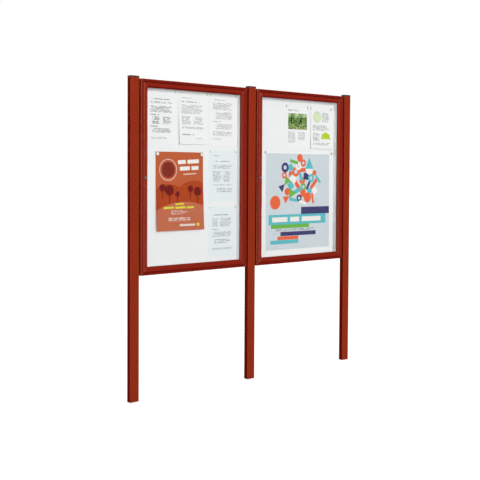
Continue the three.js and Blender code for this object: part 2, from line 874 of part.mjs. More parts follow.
function displayCase(name, centreX, { notices, noticeMagnet, poster, posterMagnet, posterFinish }) {
  const group = new THREE.Group();
  const add = (partName, geometry, finish) => group.add(piece(`${name}_${partName}`, geometry, finish));
  for (const side of Object.keys(sideTurn)) {
    add(`frame_${frameNames[side]}`, frameMember(side), finishes.frame);
    add(`door_${doorNames[side]}`, doorMember(side), finishes.door);
  }
  const panelWidth = caseWidth - 2 * backPanelInset;
  const panelHeight = caseHeight - 2 * backPanelInset;
  add('back_panel', casePlate(panelWidth, panelHeight, panSheet, backPanelFront, backPanelThickness), finishes.zinc);
  add('display_pan', displayPan(), finishes.white);
  const paneWidth = caseWidth - 2 * glassInset;
  const paneHeight = caseHeight - 2 * glassInset;
  add('door_glass', casePlate(paneWidth, paneHeight, glassCorner, glassFront, glassThickness), finishes.glass);
  add('glazing_gasket', glazingGasket(), finishes.rubber);
  add('door_seal', doorSeal(), finishes.rubber);
  add('upper_pivot_pin', pivotPin(1), finishes.darkSteel);
  add('lower_pivot_pin', pivotPin(-1), finishes.darkSteel);
  add('lock_barrel', lockBarrel(), finishes.nickel);
  add('lock_nut', lockNut(), finishes.steel);
  add('lock_plug', lockPlug(), finishes.nickel);
  add('lock_cam', lockCam(), finishes.steel);
  notices.forEach((sheet, k) => add(`notice_${k + 1}`, paperSheet(sheet, noticeMagnet), finishes.paper));
  add('poster', paperSheet(poster, posterMagnet), posterFinish);
  group.position.set(centreX, frontY, caseMiddle);
  return group;
}

board.add(displayCase('left', -postSpacing / 2, {
  notices: leftNotices,
  noticeMagnet: magnets.small,
  poster: leftPoster,
  posterMagnet: magnets.poster,
  posterFinish: finishes.warmPrint,
}));
board.add(displayCase('right', postSpacing / 2, {
  notices: rightNotices,
  noticeMagnet: magnets.thick,
  poster: rightPoster,
  posterMagnet: magnets.thick,
  posterFinish: finishes.coolPrint,
}));

export default board;
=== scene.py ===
# Looks of the lockable notice board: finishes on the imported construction, and the paper sheets
# with their magnets, which stand in for the plain ones. Metres, +Z up, the front faces -Y.

import math
import random

import bmesh
import bpy
from mathutils import Matrix, Vector


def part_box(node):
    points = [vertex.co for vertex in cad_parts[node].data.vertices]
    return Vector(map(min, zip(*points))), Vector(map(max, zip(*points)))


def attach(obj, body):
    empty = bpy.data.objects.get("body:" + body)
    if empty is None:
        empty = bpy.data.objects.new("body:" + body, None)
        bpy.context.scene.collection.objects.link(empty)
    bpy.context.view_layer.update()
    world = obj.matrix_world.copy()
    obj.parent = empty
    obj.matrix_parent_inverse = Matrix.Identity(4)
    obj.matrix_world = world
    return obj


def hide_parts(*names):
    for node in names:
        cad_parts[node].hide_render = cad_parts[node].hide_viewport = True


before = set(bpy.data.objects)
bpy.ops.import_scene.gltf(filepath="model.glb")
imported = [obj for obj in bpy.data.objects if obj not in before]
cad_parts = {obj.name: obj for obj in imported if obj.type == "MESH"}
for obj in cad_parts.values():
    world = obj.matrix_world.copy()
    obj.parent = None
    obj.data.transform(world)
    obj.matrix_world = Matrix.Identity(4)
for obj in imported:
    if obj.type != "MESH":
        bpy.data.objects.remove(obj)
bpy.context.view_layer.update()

MM = 0.001
SIDES = ("left", "right")
POSTS = ("left", "middle", "right")


# Colours, written as they look on a screen from 0 to 255

def screen(red, green, blue):
    """The colour as light, by the curve that screens use."""
    def linear(value):
        share = value / 255
        if share <= 0.04045:
            return share / 12.92
        return ((share + 0.055) / 1.055) ** 2.4
    return (linear(red), linear(green), linear(blue), 1.0)


POST_RED = screen(152, 50, 26)
# The frame is of the door's paint, set darker as painted shade for the rim beside and under the
# door
FRAME_RED = screen(131, 27, 17)
DOOR_RED = screen(143, 37, 24)
# The pale red of the painted highlight along edges
EDGE_HIGHLIGHT = screen(206, 118, 92)
CAP_BLACK = screen(46, 20, 16)
ENAMEL_WHITE = screen(248, 248, 248)
RUBBER_BLACK = screen(30, 29, 29)
ZINC_GREY = screen(160, 162, 164)
NICKEL_GREY = screen(90, 80, 74)
WORN_NICKEL = screen(166, 154, 142)
DARK_STEEL = screen(44, 42, 41)
ALUMINIUM_GREY = screen(186, 188, 190)
GLASS_TINT = screen(254, 255, 255)
MAGNET_WHITE = screen(246, 246, 245)
MAGNET_BODY = screen(122, 124, 128)
# Dark grey painted on the upper sides of the thick magnets as painted shade
MAGNET_TOP_SHADE = screen(40, 42, 46)
MAGNET_STEEL = screen(206, 207, 208)

# Shares of light, which multiply a colour or stand for plain grey and white
SIDE_SHADE = (0.68, 0.22, 0.22, 1.0)
PAINT_GLOSS = (1.0, 0.32, 0.2, 1.0)
MID_GREY = (0.5, 0.5, 0.5, 1.0)
FULL_WHITE = (1.0, 1.0, 1.0, 1.0)


# Small helpers for shader nodes

FLOAT = "NodeSocketFloat"
VECTOR = "NodeSocketVector"
COLOUR = "NodeSocketColor"

# A colour mix keeps its sockets for the share, the two colours and the result at these places.
MIX_SHARE, MIX_FIRST, MIX_SECOND, MIX_RESULT = 0, 6, 7, 2

# Where the dark and the bright ends of a noise field lie
NOISE_ENDS = (0.3, 0.7)


class Nodes:
    """Adds nodes to one tree and joins them in the order in which they are written."""

    def __init__(self, tree):
        self.tree = tree

    def add(self, kind, inputs=None, **settings):
        node = self.tree.nodes.new(kind)
        for key, value in settings.items():
            setattr(node, key, value)
        for key, value in (inputs or {}).items():
            self.feed(node.inputs[key], value)
        return node

    def feed(self, socket, value):
        if isinstance(value, bpy.types.NodeSocket):
            self.tree.links.new(value, socket)
        else:
            socket.default_value = value

    def math(self, operation, first, second=0.0, third=0.0, clamp=False):
        values = {0: first, 1: second, 2: third}
        node = self.add("ShaderNodeMath", values, operation=operation, use_clamp=clamp)
        return node.outputs[0]

    def vector_math(self, operation, first, second):
        node = self.add("ShaderNodeVectorMath", {0: first, 1: second}, operation=operation)
        return node.outputs[0]

    def mix(self, share, first, second, blend="MIX"):
        values = {MIX_SHARE: share, MIX_FIRST: first, MIX_SECOND: second}
        node = self.add("ShaderNodeMix", values, data_type="RGBA", blend_type=blend)
        return node.outputs[MIX_RESULT]

    def shade(self, colour, level):
        """The colour, lighter or darker by the level."""
        tone = self.add("ShaderNodeCombineColor", {"Red": level, "Green": level, "Blue": level})
        return self.mix(1.0, colour, tone.outputs[0], "MULTIPLY")

    def map_range(self, value, low, high, to_low=0.0, to_high=1.0):
        names = ("Value", "From Min", "From Max", "To Min", "To Max")
        values = dict(zip(names, (value, low, high, to_low, to_high)))
        return self.add("ShaderNodeMapRange", values, clamp=True).outputs["Result"]

    def within(self, value, reach):
        """1 where the value lies less than the reach from zero."""
        return self.math("LESS_THAN", self.math("ABSOLUTE", value), reach)

    def noise(self, vector, scale, detail=2.0, roughness=0.5):
        values = {"Vector": vector, "Scale": scale, "Detail": detail, "Roughness": roughness}
        return self.add("ShaderNodeTexNoise", values).outputs["Fac"]

    def place(self):
        return self.add("ShaderNodeTexCoord").outputs["Object"]

    def flat_normal(self):
        return self.add("ShaderNodeNewGeometry").outputs["True Normal"]

    def split(self, vector):
        return self.add("ShaderNodeSeparateXYZ", {"Vector": vector}).outputs

    def group(self, tree, **inputs):
        node = self.add("ShaderNodeGroup", node_tree=tree)
        for name, value in inputs.items():
            self.feed(node.inputs[name.replace("_", " ")], value)
        return node.outputs


def new_group(name, inputs, outputs):
    """A shader node group with named sockets. Inputs give each name its kind and first value."""
    tree = bpy.data.node_groups.new(name, "ShaderNodeTree")
    for label, (kind, value) in inputs.items():
        socket = tree.interface.new_socket(label, in_out="INPUT", socket_type=kind)
        if value is not None:
            socket.default_value = value
    for label, kind in outputs.items():
        tree.interface.new_socket(label, in_out="OUTPUT", socket_type=kind)
    nodes = Nodes(tree)
    start = nodes.add("NodeGroupInput").outputs
    end = nodes.add("NodeGroupOutput").inputs
    return nodes, start, end


def new_material(name):
    """A material with its nodes and its Principled shader."""
    material = bpy.data.materials.new(name)
    material.use_nodes = True
    nodes = Nodes(material.node_tree)
    shader = material.node_tree.nodes["Principled BSDF"]
    return material, nodes, shader


# Shared effects

def build_surface_drift():
    """Slow, faint changes of tone, as handling and uneven light leave on a plain finish."""
    nodes, start, end = new_group(
        "surface drift",
        {
            "Place": (VECTOR, None),
            "Colour": (COLOUR, MID_GREY),
            "Scale": (FLOAT, 8.0),
            "Amount": (FLOAT, 0.05),
        },
        {"Colour": COLOUR},
    )
    field = nodes.noise(start["Place"], start["Scale"], detail=4.0, roughness=0.55)
    low = nodes.math("SUBTRACT", 1.0, start["Amount"])
    high = nodes.math("ADD", 1.0, start["Amount"])
    level = nodes.map_range(field, *NOISE_ENDS, low, high)
    nodes.feed(end["Colour"], nodes.shade(start["Colour"], level))
    return nodes.tree


def build_powder_grain():
    """The fine pebbled skin of powder coat: height for a bump and a little change of gloss."""
    nodes, start, end = new_group(
        "powder grain",
        {
            "Place": (VECTOR, None),
            "Pebble": (FLOAT, 420.0),
            "Roughness": (FLOAT, 0.45),
        },
        {"Height": FLOAT, "Roughness": FLOAT},
    )
    pebble = nodes.noise(start["Place"], start["Pebble"])
    wide = nodes.noise(start["Place"], 30.0, detail=3.0)
    gloss = nodes.map_range(wide, *NOISE_ENDS, -0.05, 0.05)
    nodes.feed(end["Height"], pebble)
    nodes.feed(end["Roughness"], nodes.math("ADD", start["Roughness"], gloss, clamp=True))
    return nodes.tree


def build_metal_spangle():
    """Plated or rolled metal: fine lines along one way over a cloudy tone."""
    nodes, start, end = new_group(
        "metal spangle",
        {
            "Place": (VECTOR, None),
            "Colour": (COLOUR, MID_GREY),
            "Stretch": (VECTOR, (40.0, 40.0, 900.0)),
            "Roughness": (FLOAT, 0.35),
        },
        {"Colour": COLOUR, "Roughness": FLOAT, "Height": FLOAT},
    )
    stretched = nodes.vector_math("MULTIPLY", start["Place"], start["Stretch"])
    lines = nodes.noise(stretched, 1.0, detail=3.0)
    clouds = nodes.noise(start["Place"], 60.0, detail=4.0)
    half_lines = nodes.math("MULTIPLY", lines, 0.5)
    both = nodes.math("ADD", half_lines, nodes.math("MULTIPLY", clouds, 0.5))
    level = nodes.map_range(both, *NOISE_ENDS, 0.86, 1.08)
    gloss = nodes.map_range(both, *NOISE_ENDS, -0.07, 0.07)
    nodes.feed(end["Colour"], nodes.shade(start["Colour"], level))
    nodes.feed(end["Roughness"], nodes.math("ADD", start["Roughness"], gloss, clamp=True))
    nodes.feed(end["Height"], lines)
    return nodes.tree


def build_edge_highlights():
    """A painted highlight along outer edges: 1 on the edge, 0 on the flat, a little broken
    up. It is strongest on edges that face -X, the side from which the lamps shine."""
    nodes, start, end = new_group(
        "edge highlights",
        {
            "Place": (VECTOR, None),
            "Flat Normal": (VECTOR, None),
            "Rounded Normal": (VECTOR, None),
            "Reach": (FLOAT, 0.16),
        },
        {"Mask": FLOAT},
    )
    normals = {0: start["Flat Normal"], 1: start["Rounded Normal"]}
    alike = nodes.add("ShaderNodeVectorMath", normals, operation="DOT_PRODUCT")
    turned = nodes.math("SUBTRACT", 1.0, alike.outputs["Value"])
    edge = nodes.map_range(turned, 0.005, start["Reach"])
    broken = nodes.map_range(nodes.noise(start["Place"], 45.0, detail=3.0), 0.3, 0.6, 0.75, 1.0)
    # Painted highlight: strongest on edges that face -X, towards the lamps
    facing = nodes.split(start["Rounded Normal"])["X"]
    lit_side = nodes.map_range(facing, -0.5, -0.15, 1.0, 0.15)
    nodes.feed(end["Mask"], nodes.math("MULTIPLY", nodes.math("MULTIPLY", edge, broken), lit_side))
    return nodes.tree


SURFACE_DRIFT = build_surface_drift()
EDGE_HIGHLIGHTS = build_edge_highlights()
POWDER_GRAIN = build_powder_grain()
METAL_SPANGLE = build_metal_spangle()


# Finishes of the construction

def join_skin(nodes, shader, colour, roughness, height, relief, depth):
    """Joins a skin's colour, gloss and fine relief to the shader."""
    bump = nodes.add("ShaderNodeBump", {"Strength": relief, "Distance": depth, "Height": height})
    nodes.feed(shader.inputs["Base Color"], colour)
    nodes.feed(shader.inputs["Roughness"], roughness)
    nodes.feed(shader.inputs["Normal"], bump.outputs[0])


def join_pebbled_skin(nodes, shader, drift, grain, relief, depth, specular):
    """Joins a plain skin. Drift and grain give the values of those two shared effects."""
    place = nodes.place()
    tone = nodes.group(SURFACE_DRIFT, Place=place, **drift)
    pebble = nodes.group(POWDER_GRAIN, Place=place, **grain)
    join_skin(nodes, shader, tone["Colour"], pebble["Roughness"], pebble["Height"], relief, depth)
    shader.inputs["Specular IOR Level"].default_value = specular


def powder_coat(name, colour, drift_scale=6.0, edge_reach=3.0 * MM, shade_sides=False):
    """Satin powder coat over aluminium, paler along its edges as a painted highlight. It is of a
    deeper red as painted shade: on walls that face along the board where asked, else on
    undersides."""
    material, nodes, shader = new_material(name)
    place = nodes.place()
    drift = nodes.group(SURFACE_DRIFT, Place=place, Colour=colour, Scale=drift_scale, Amount=0.035)
    grain = nodes.group(POWDER_GRAIN, Place=place, Roughness=0.42)
    rounded = nodes.add("ShaderNodeBevel", {"Radius": edge_reach}, samples=8).outputs[0]
    flat = nodes.flat_normal()
    normals = {"Flat_Normal": flat, "Rounded_Normal": rounded}
    edges = nodes.group(EDGE_HIGHLIGHTS, Place=place, Reach=0.035, **normals)
    # Painted highlight: the coat is mixed towards a pale red along the edges
    highlight = nodes.math("MULTIPLY", edges["Mask"], 0.95)
    facing = nodes.split(flat)
    # Painted shade: a deeper red on walls facing along the board, or else on undersides
    if shade_sides:
        painted_shade = nodes.map_range(nodes.math("ABSOLUTE", facing["X"]), 0.6, 0.9)
    else:
        painted_shade = nodes.map_range(facing["Z"], -0.6, -0.3, 1.0, 0.0)
    body = nodes.mix(painted_shade, drift["Colour"], SIDE_SHADE, "MULTIPLY")
    coat = nodes.mix(highlight, body, EDGE_HIGHLIGHT)
    join_skin(nodes, shader, coat, grain["Roughness"], grain["Height"], 0.12, 0.4 * MM)
    shader.inputs["Specular IOR Level"].default_value = 0.01
    shader.inputs["Specular Tint"].default_value = PAINT_GLOSS
    return material


def moulded_plastic(name, colour, roughness=0.5, top_shade=None):
    """Plain plastic. The upper part of its sides can be darkened towards a given colour, as painted
    shade.
    """
    material, nodes, shader = new_material(name)
    if top_shade:
        # Painted shade on the upper part of the sides
        facing = nodes.split(nodes.flat_normal())
        upward = nodes.map_range(facing["Z"], -0.35, 0.05)
        beside = nodes.map_range(nodes.math("ABSOLUTE", facing["Y"]), 0.4, 0.8, 1.0, 0.0)
        colour = nodes.mix(nodes.math("MULTIPLY", upward, beside), colour, top_shade)
    drift = {"Colour": colour, "Scale": 40.0, "Amount": 0.08}
    grain = {"Pebble": 900.0, "Roughness": roughness}
    join_pebbled_skin(nodes, shader, drift, grain, relief=0.15, depth=0.2 * MM, specular=0.35)
    return material


def white_enamel(name):
    """The magnetic steel backing: smooth stoved enamel with a faint ripple."""
    material, nodes, shader = new_material(name)
    drift = {"Colour": ENAMEL_WHITE, "Scale": 2.5, "Amount": 0.012}
    grain = {"Pebble": 160.0, "Roughness": 0.4}
    join_pebbled_skin(nodes, shader, drift, grain, relief=0.04, depth=0.3 * MM, specular=0.3)
    return material


def gasket_rubber(name):
    """Dull black rubber with an uneven tone."""
    material, nodes, shader = new_material(name)
    drift = {"Colour": RUBBER_BLACK, "Scale": 50.0, "Amount": 0.15}
    grain = {"Pebble": 1400.0, "Roughness": 0.75}
    join_pebbled_skin(nodes, shader, drift, grain, relief=0.2, depth=0.1 * MM, specular=0.25)
    return material


def plated_metal(name, colour, roughness=0.35, stretch=(300.0, 300.0, 40.0)):
    """Plated or rolled metal. Stretch gives the lines' fineness along each axis."""
    material, nodes, shader = new_material(name)
    values = {"Colour": colour, "Stretch": stretch, "Roughness": roughness}
    metal = nodes.group(METAL_SPANGLE, Place=nodes.place(), **values)
    join_skin(nodes, shader, metal["Colour"], metal["Roughness"], metal["Height"], 0.08, 0.2 * MM)
    shader.inputs["Metallic"].default_value = 0.9
    return material


def clear_glass(name):
    """Flat toughened glass that lets the lamps through to the sheets behind it. It bends light
    less than real glass does, so the pane shows hardly any mirror image."""
    material, nodes, shader = new_material(name)
    smear = nodes.noise(nodes.place(), 5.0, detail=3.0)
    nodes.feed(shader.inputs["Roughness"], nodes.map_range(smear, 0.4, 0.7, 0.0, 0.02))
    shader.inputs["Base Color"].default_value = GLASS_TINT
    shader.inputs["Transmission Weight"].default_value = 1.0
    shader.inputs["IOR"].default_value = 1.12
    path = nodes.add("ShaderNodeLightPath").outputs
    open_air = nodes.add("ShaderNodeBsdfTransparent", {"Color": GLASS_TINT}).outputs[0]
    pane = shader.outputs[0]
    for ray in ("Is Diffuse Ray", "Is Shadow Ray"):
        pane = nodes.add("ShaderNodeMixShader", {0: path[ray], 1: pane, 2: open_air}).outputs[0]
    nodes.feed(material.node_tree.nodes["Material Output"].inputs["Surface"], pane)
    return material


# Printed shapes. Places are measured from the sheet's middle, across and up.

def build_typed_lines():
    """Rows of short grey strokes with uneven ends, like small print too far off to read."""
    nodes, start, end = new_group(
        "typed lines",
        {
            "Place": (VECTOR, None),
            "Left": (FLOAT, -0.08),
            "Top": (FLOAT, 0.1),
            "Width": (FLOAT, 0.16),
            "Height": (FLOAT, 0.1),
            "Pitch": (FLOAT, 0.006),
            "Ink": (FLOAT, 0.5),
            "Word": (FLOAT, 0.012),
            "Ragged": (FLOAT, 0.2),
            "Seed": (FLOAT, 0.0),
        },
        {"Mask": FLOAT},
    )
    apart = nodes.split(start["Place"])
    across = nodes.math("SUBTRACT", apart["X"], start["Left"])
    down = nodes.math("SUBTRACT", start["Top"], apart["Z"])
    rows = nodes.math("DIVIDE", down, start["Pitch"])
    row = nodes.math("FLOOR", rows)
    in_row = nodes.math("LESS_THAN", nodes.math("FRACT", rows), start["Ink"])
    key = nodes.math("ADD", row, start["Seed"])
    chance = nodes.add("ShaderNodeTexWhiteNoise", {"W": key}, noise_dimensions="1D")
    cut_back = nodes.math("MULTIPLY", chance.outputs["Value"], start["Ragged"])
    row_share = nodes.math("SUBTRACT", 1.0, cut_back)
    row_width = nodes.math("MULTIPLY", start["Width"], row_share)
    words = nodes.add("ShaderNodeCombineXYZ", {
        "X": nodes.math("DIVIDE", across, start["Word"]),
        "Y": nodes.math("MULTIPLY", key, 3.7),
    }).outputs[0]
    spread = nodes.add("ShaderNodeTexNoise", {"Vector": words, "Scale": 1.0}, noise_dimensions="2D")
    in_word = nodes.math("GREATER_THAN", spread.outputs["Fac"], 0.42)
    right_of_edge = nodes.math("GREATER_THAN", across, 0.0)
    left_of_end = nodes.math("LESS_THAN", across, row_width)
    under_top = nodes.math("GREATER_THAN", down, 0.0)
    over_foot = nodes.math("LESS_THAN", down, start["Height"])
    mask = in_row
    for part in (in_word, right_of_edge, left_of_end, under_top, over_foot):
        mask = nodes.math("MULTIPLY", mask, part)
    nodes.feed(end["Mask"], mask)
    return nodes.tree


def own_axes(nodes, start):
    """Places from the middle of a printed shape, across and up after its turn."""
    shifted = nodes.vector_math("SUBTRACT", start["Place"], start["Middle"])
    values = {"Vector": shifted, "Angle": start["Turn"]}
    turned = nodes.add("ShaderNodeVectorRotate", values, rotation_type="Y_AXIS")
    return nodes.split(turned.outputs[0])


def build_printed_bar():
    """A bar of flat ink, turned about its middle."""
    nodes, start, end = new_group(
        "printed bar",
        {
            "Place": (VECTOR, None),
            "Middle": (VECTOR, (0.0, 0.0, 0.0)),
            "Half Width": (FLOAT, 0.05),
            "Half Height": (FLOAT, 0.01),
            "Turn": (FLOAT, 0.0),
        },
        {"Mask": FLOAT},
    )
    apart = own_axes(nodes, start)
    across = nodes.within(apart["X"], start["Half Width"])
    up = nodes.within(apart["Z"], start["Half Height"])
    nodes.feed(end["Mask"], nodes.math("MULTIPLY", across, up))
    return nodes.tree


def build_printed_disc():
    """A disc or ring of flat ink. Inner is the ring's hole, and 0 fills it."""
    nodes, start, end = new_group(
        "printed disc",
        {
            "Place": (VECTOR, None),
            "Middle": (VECTOR, (0.0, 0.0, 0.0)),
            "Radius": (FLOAT, 0.05),
            "Inner": (FLOAT, 0.0),
        },
        {"Mask": FLOAT},
    )
    shifted = nodes.vector_math("SUBTRACT", start["Place"], start["Middle"])
    flat = nodes.vector_math("MULTIPLY", shifted, (1.0, 0.0, 1.0))
    length = nodes.add("ShaderNodeVectorMath", {0: flat}, operation="LENGTH").outputs["Value"]
    within = nodes.math("LESS_THAN", length, start["Radius"])
    outside = nodes.math("GREATER_THAN", length, start["Inner"])
    nodes.feed(end["Mask"], nodes.math("MULTIPLY", within, outside))
    return nodes.tree


def build_printed_wedge():
    """A triangle of flat ink that narrows upwards, turned about its middle."""
    nodes, start, end = new_group(
        "printed wedge",
        {
            "Place": (VECTOR, None),
            "Middle": (VECTOR, (0.0, 0.0, 0.0)),
            "Half Width": (FLOAT, 0.02),
            "Height": (FLOAT, 0.04),
            "Turn": (FLOAT, 0.0),
        },
        {"Mask": FLOAT},
    )
    apart = own_axes(nodes, start)
    raised = nodes.math("ADD", nodes.math("DIVIDE", apart["Z"], start["Height"]), 0.5)
    side = nodes.math("MULTIPLY", start["Half Width"], nodes.math("SUBTRACT", 1.0, raised))
    across = nodes.within(apart["X"], side)
    over_foot = nodes.math("GREATER_THAN", raised, 0.0)
    nodes.feed(end["Mask"], nodes.math("MULTIPLY", across, over_foot))
    return nodes.tree


TYPED_LINES = build_typed_lines()
PRINTED_WEDGE = build_printed_wedge()
PRINTED_BAR = build_printed_bar()
PRINTED_DISC = build_printed_disc()


# The camera, the lamps and the floor

CAMERA_PLACE = (-3.320, -3.842, 1.242)
CAMERA_YAW = math.radians(40.22)
CAMERA_PITCH = math.radians(-1.91)
CAMERA_ROLL = math.radians(0.32)
SENSOR_WIDTH = 36.0
FOCAL_LENGTH = 63.60
FRAME_SHIFT = -0.0833
CAMERA_RANGE = 80.0

# Where each lamp shines from, its strength, and its spread in degrees
LAMPS = {
    "high_front_lamp": ((-0.1, -1.0, 0.31), 0.83, 9.0),
    "low_front_lamp": ((-0.42, -1.0, 0.02), 1.79, 24.0),
    "rear_lamp": ((0.55, 0.72, 0.42), 1.6, 70.0),
}
AMBIENT = 0.3
FLOOR_REACH = 30.0
FLOOR_GLOW = 0.79


def stand_camera():
    """Stands left of the board at chest height and looks across it, as the photograph does."""
    data = bpy.data.cameras.new("camera")
    camera = bpy.data.objects.new("camera", data)
    bpy.context.scene.collection.objects.link(camera)
    bpy.context.scene.camera = camera
    data.sensor_width = SENSOR_WIDTH
    data.lens = FOCAL_LENGTH
    data.shift_y = FRAME_SHIFT
    data.clip_end = CAMERA_RANGE
    level = math.cos(CAMERA_PITCH)
    forward = Vector((
        math.sin(CAMERA_YAW) * level,
        math.cos(CAMERA_YAW) * level,
        math.sin(CAMERA_PITCH),
    ))
    right = Vector((math.cos(CAMERA_YAW), -math.sin(CAMERA_YAW), 0.0))
    up = right.cross(forward)
    tilted_right = math.cos(CAMERA_ROLL) * right + math.sin(CAMERA_ROLL) * up
    tilted_up = math.cos(CAMERA_ROLL) * up - math.sin(CAMERA_ROLL) * right
    columns = Matrix((tilted_right, tilted_up, -forward)).transposed()
    camera.matrix_world = Matrix.Translation(CAMERA_PLACE) @ columns.to_4x4()


def hang_lamp(name, towards, strength, spread):
    data = bpy.data.lights.new(name, "SUN")
    data.energy = strength
    data.angle = math.radians(spread)
    lamp = bpy.data.objects.new(name, data)
    bpy.context.scene.collection.objects.link(lamp)
    lamp.rotation_euler = Vector(towards).to_track_quat("Z", "Y").to_euler()


def background_share(nodes):
    """1 where a ray from the camera, off gloss or through glass ends on the background."""
    path = nodes.add("ShaderNodeLightPath").outputs
    seen = nodes.math("ADD", path["Is Camera Ray"], path["Is Glossy Ray"])
    return nodes.math("ADD", seen, path["Is Transmission Ray"], clamp=True)


def light_room():
    for name, settings in LAMPS.items():
        hang_lamp(name, *settings)
    world = bpy.data.worlds.new("pale room")
    bpy.context.scene.world = world
    world.use_nodes = True
    nodes = Nodes(world.node_tree)
    strength = nodes.math("MULTIPLY_ADD", background_share(nodes), 1.0 - AMBIENT, AMBIENT)
    background = world.node_tree.nodes["Background"]
    background.inputs["Color"].default_value = FULL_WHITE
    nodes.feed(background.inputs["Strength"], strength)


def lay_floor():
    """A grey floor, which keeps the shadows and glows white where it is the background."""
    mesh = bpy.data.meshes.new("floor")
    reach = FLOOR_REACH
    corners = ((-reach, -reach), (reach, -reach), (reach, reach), (-reach, reach))
    mesh.from_pydata([(x, y, 0.0) for x, y in corners], [], [(0, 1, 2, 3)])
    floor = bpy.data.objects.new("floor", mesh)
    bpy.context.scene.collection.objects.link(floor)
    material, nodes, shader = new_material("pale floor")
    shader.inputs["Base Color"].default_value = MID_GREY
    shader.inputs["Roughness"].default_value = 0.9
    shader.inputs["Specular IOR Level"].default_value = 0.1
    shader.inputs["Emission Color"].default_value = FULL_WHITE
    glow = nodes.math("MULTIPLY", background_share(nodes), FLOOR_GLOW)
    nodes.feed(shader.inputs["Emission Strength"], glow)
    mesh.materials.append(material)


stand_camera()
light_room()
lay_floor()


# Finishes on the construction's own pieces

# How far the painted edge highlights reach on the posts and on the lock sides
POST_EDGE = 4.4 * MM
LOCK_SIDE_HIGHLIGHT = 7.0 * MM
ROLLED_LINES = (60.0, 60.0, 900.0)


def finish_nodes(material, names):
    for name in names:
        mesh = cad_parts[name].data
        mesh.materials.clear()
        mesh.materials.append(material)


def finish_construction():
    """The lock sides, on the left towards the lamps, have wider painted edge highlights than the
    other members.
    """
    posts = [f"{place}_post" for place in POSTS]
    post_paint = powder_coat("post paint", POST_RED, 5.0, POST_EDGE, shade_sides=True)
    finish_nodes(post_paint, posts)
    finish_nodes(moulded_plastic("cap plastic", CAP_BLACK), [f"{post}_cap" for post in posts])
    zinc = plated_metal("zinc plate", ZINC_GREY)
    for level in ("upper", "lower"):
        finish_nodes(zinc, [f"{place}_{level}_bracket" for place in POSTS])
    frame_paint = powder_coat("frame paint", FRAME_RED)
    highlit_frame_paint = powder_coat("highlit frame paint", FRAME_RED, edge_reach=LOCK_SIDE_HIGHLIGHT)
    door_paint = powder_coat("door paint", DOOR_RED)
    highlit_door_paint = powder_coat("highlit door paint", DOOR_RED, edge_reach=LOCK_SIDE_HIGHLIGHT)
    rolled = plated_metal("mill aluminium", ALUMINIUM_GREY, 0.42, ROLLED_LINES)
    case_finishes = (
        (frame_paint, ("frame_top", "frame_bottom", "frame_hinge_side")),
        (highlit_frame_paint, ("frame_lock_side",)),
        (door_paint, ("door_top_rail", "door_bottom_rail", "door_hinge_stile")),
        (highlit_door_paint, ("door_lock_stile",)),
        (rolled, ("back_panel",)),
        (white_enamel("stoved enamel"), ("display_pan",)),
        (clear_glass("toughened glass"), ("door_glass",)),
        (gasket_rubber("gasket rubber"), ("glazing_gasket", "door_seal")),
        (plated_metal("blackened steel", DARK_STEEL, 0.5), ("upper_pivot_pin", "lower_pivot_pin")),
        (zinc, ("lock_nut", "lock_cam")),
        (plated_metal("nickel plate", NICKEL_GREY, 0.28), ("lock_barrel",)),
        (plated_metal("worn nickel", WORN_NICKEL), ("lock_plug",)),
    )
    for material, parts in case_finishes:
        finish_nodes(material, [f"{side}_{part}" for side in SIDES for part in parts])


finish_construction()


# Sheets of paper: a thin closed skin over a grid, lifted off the backing where it curls

PAPER_THICKNESS = 0.3 * MM
SHEET_COLUMNS = 26
SHEET_ROWS = 34
PAPER_SHARP_ANGLE = math.radians(50.0)


def link_piece(name, mesh, material):
    piece = bpy.data.objects.new(name, mesh)
    bpy.context.scene.collection.objects.link(piece)
    mesh.materials.append(material)
    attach(piece, "root")
    return piece


def smooth_mesh(name, bm, sharp_angle):
    mesh = bpy.data.meshes.new(name)
    bmesh.ops.recalc_face_normals(bm, faces=bm.faces)
    bm.to_mesh(mesh)
    bm.free()
    mesh.shade_smooth()
    mesh.set_sharp_from_angle(angle=sharp_angle)
    return mesh


def eased(value):
    held = min(max(value, 0.0), 1.0)
    return held * held * (3.0 - 2.0 * held)


def paper_sheet(node, material, lift):
    """Lift takes the shares across and up the sheet and gives how far it stands off, in metres."""
    low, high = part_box(node)
    bm = bmesh.new()
    layers = []
    for thickness in (PAPER_THICKNESS, 0.0):
        rows = []
        for row in range(SHEET_ROWS + 1):
            up = row / SHEET_ROWS
            line = []
            for column in range(SHEET_COLUMNS + 1):
                across = column / SHEET_COLUMNS
                stand_off = max(lift(across, up), 0.0)
                x = low.x + across * (high.x - low.x)
                z = low.z + up * (high.z - low.z)
                line.append(bm.verts.new((x, high.y - stand_off - thickness, z)))
            rows.append(line)
        layers.append(rows)
    front, rear = layers
    for row in range(SHEET_ROWS):
        for column in range(SHEET_COLUMNS):
            for rows in layers:
                lower, upper = rows[row], rows[row + 1]
                bm.faces.new((lower[column], lower[column + 1], upper[column + 1], upper[column]))
    side_steps = [(row, column, 1, 0) for row in range(SHEET_ROWS) for column in (0, SHEET_COLUMNS)]
    foot_steps = [(row, column, 0, 1) for column in range(SHEET_COLUMNS) for row in (0, SHEET_ROWS)]
    for row, column, up, along in side_steps + foot_steps:
        next_row, next_column = row + up, column + along
        bm.faces.new((
            front[row][column],
            front[next_row][next_column],
            rear[next_row][next_column],
            rear[row][column],
        ))
    mesh = smooth_mesh(f"{node}_paper", bm, PAPER_SHARP_ANGLE)
    piece = link_piece(f"{node}_paper", mesh, material)
    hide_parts(node)


# How the sheets hang. Each lift is in metres, at shares across and up the sheet.

def flat_hang(across, up):
    """A sheet that hangs flat, with a slight slack between its magnets and towards its foot."""
    slack_depth = 0.9 * MM
    bow_depth = 0.5 * MM
    slack = slack_depth * eased((0.9 - up) / 0.9)
    bow = bow_depth * eased(5.0 * across - 0.6) * eased(4.4 - 5.0 * across) * (0.4 + 0.6 * up)
    return slack + bow


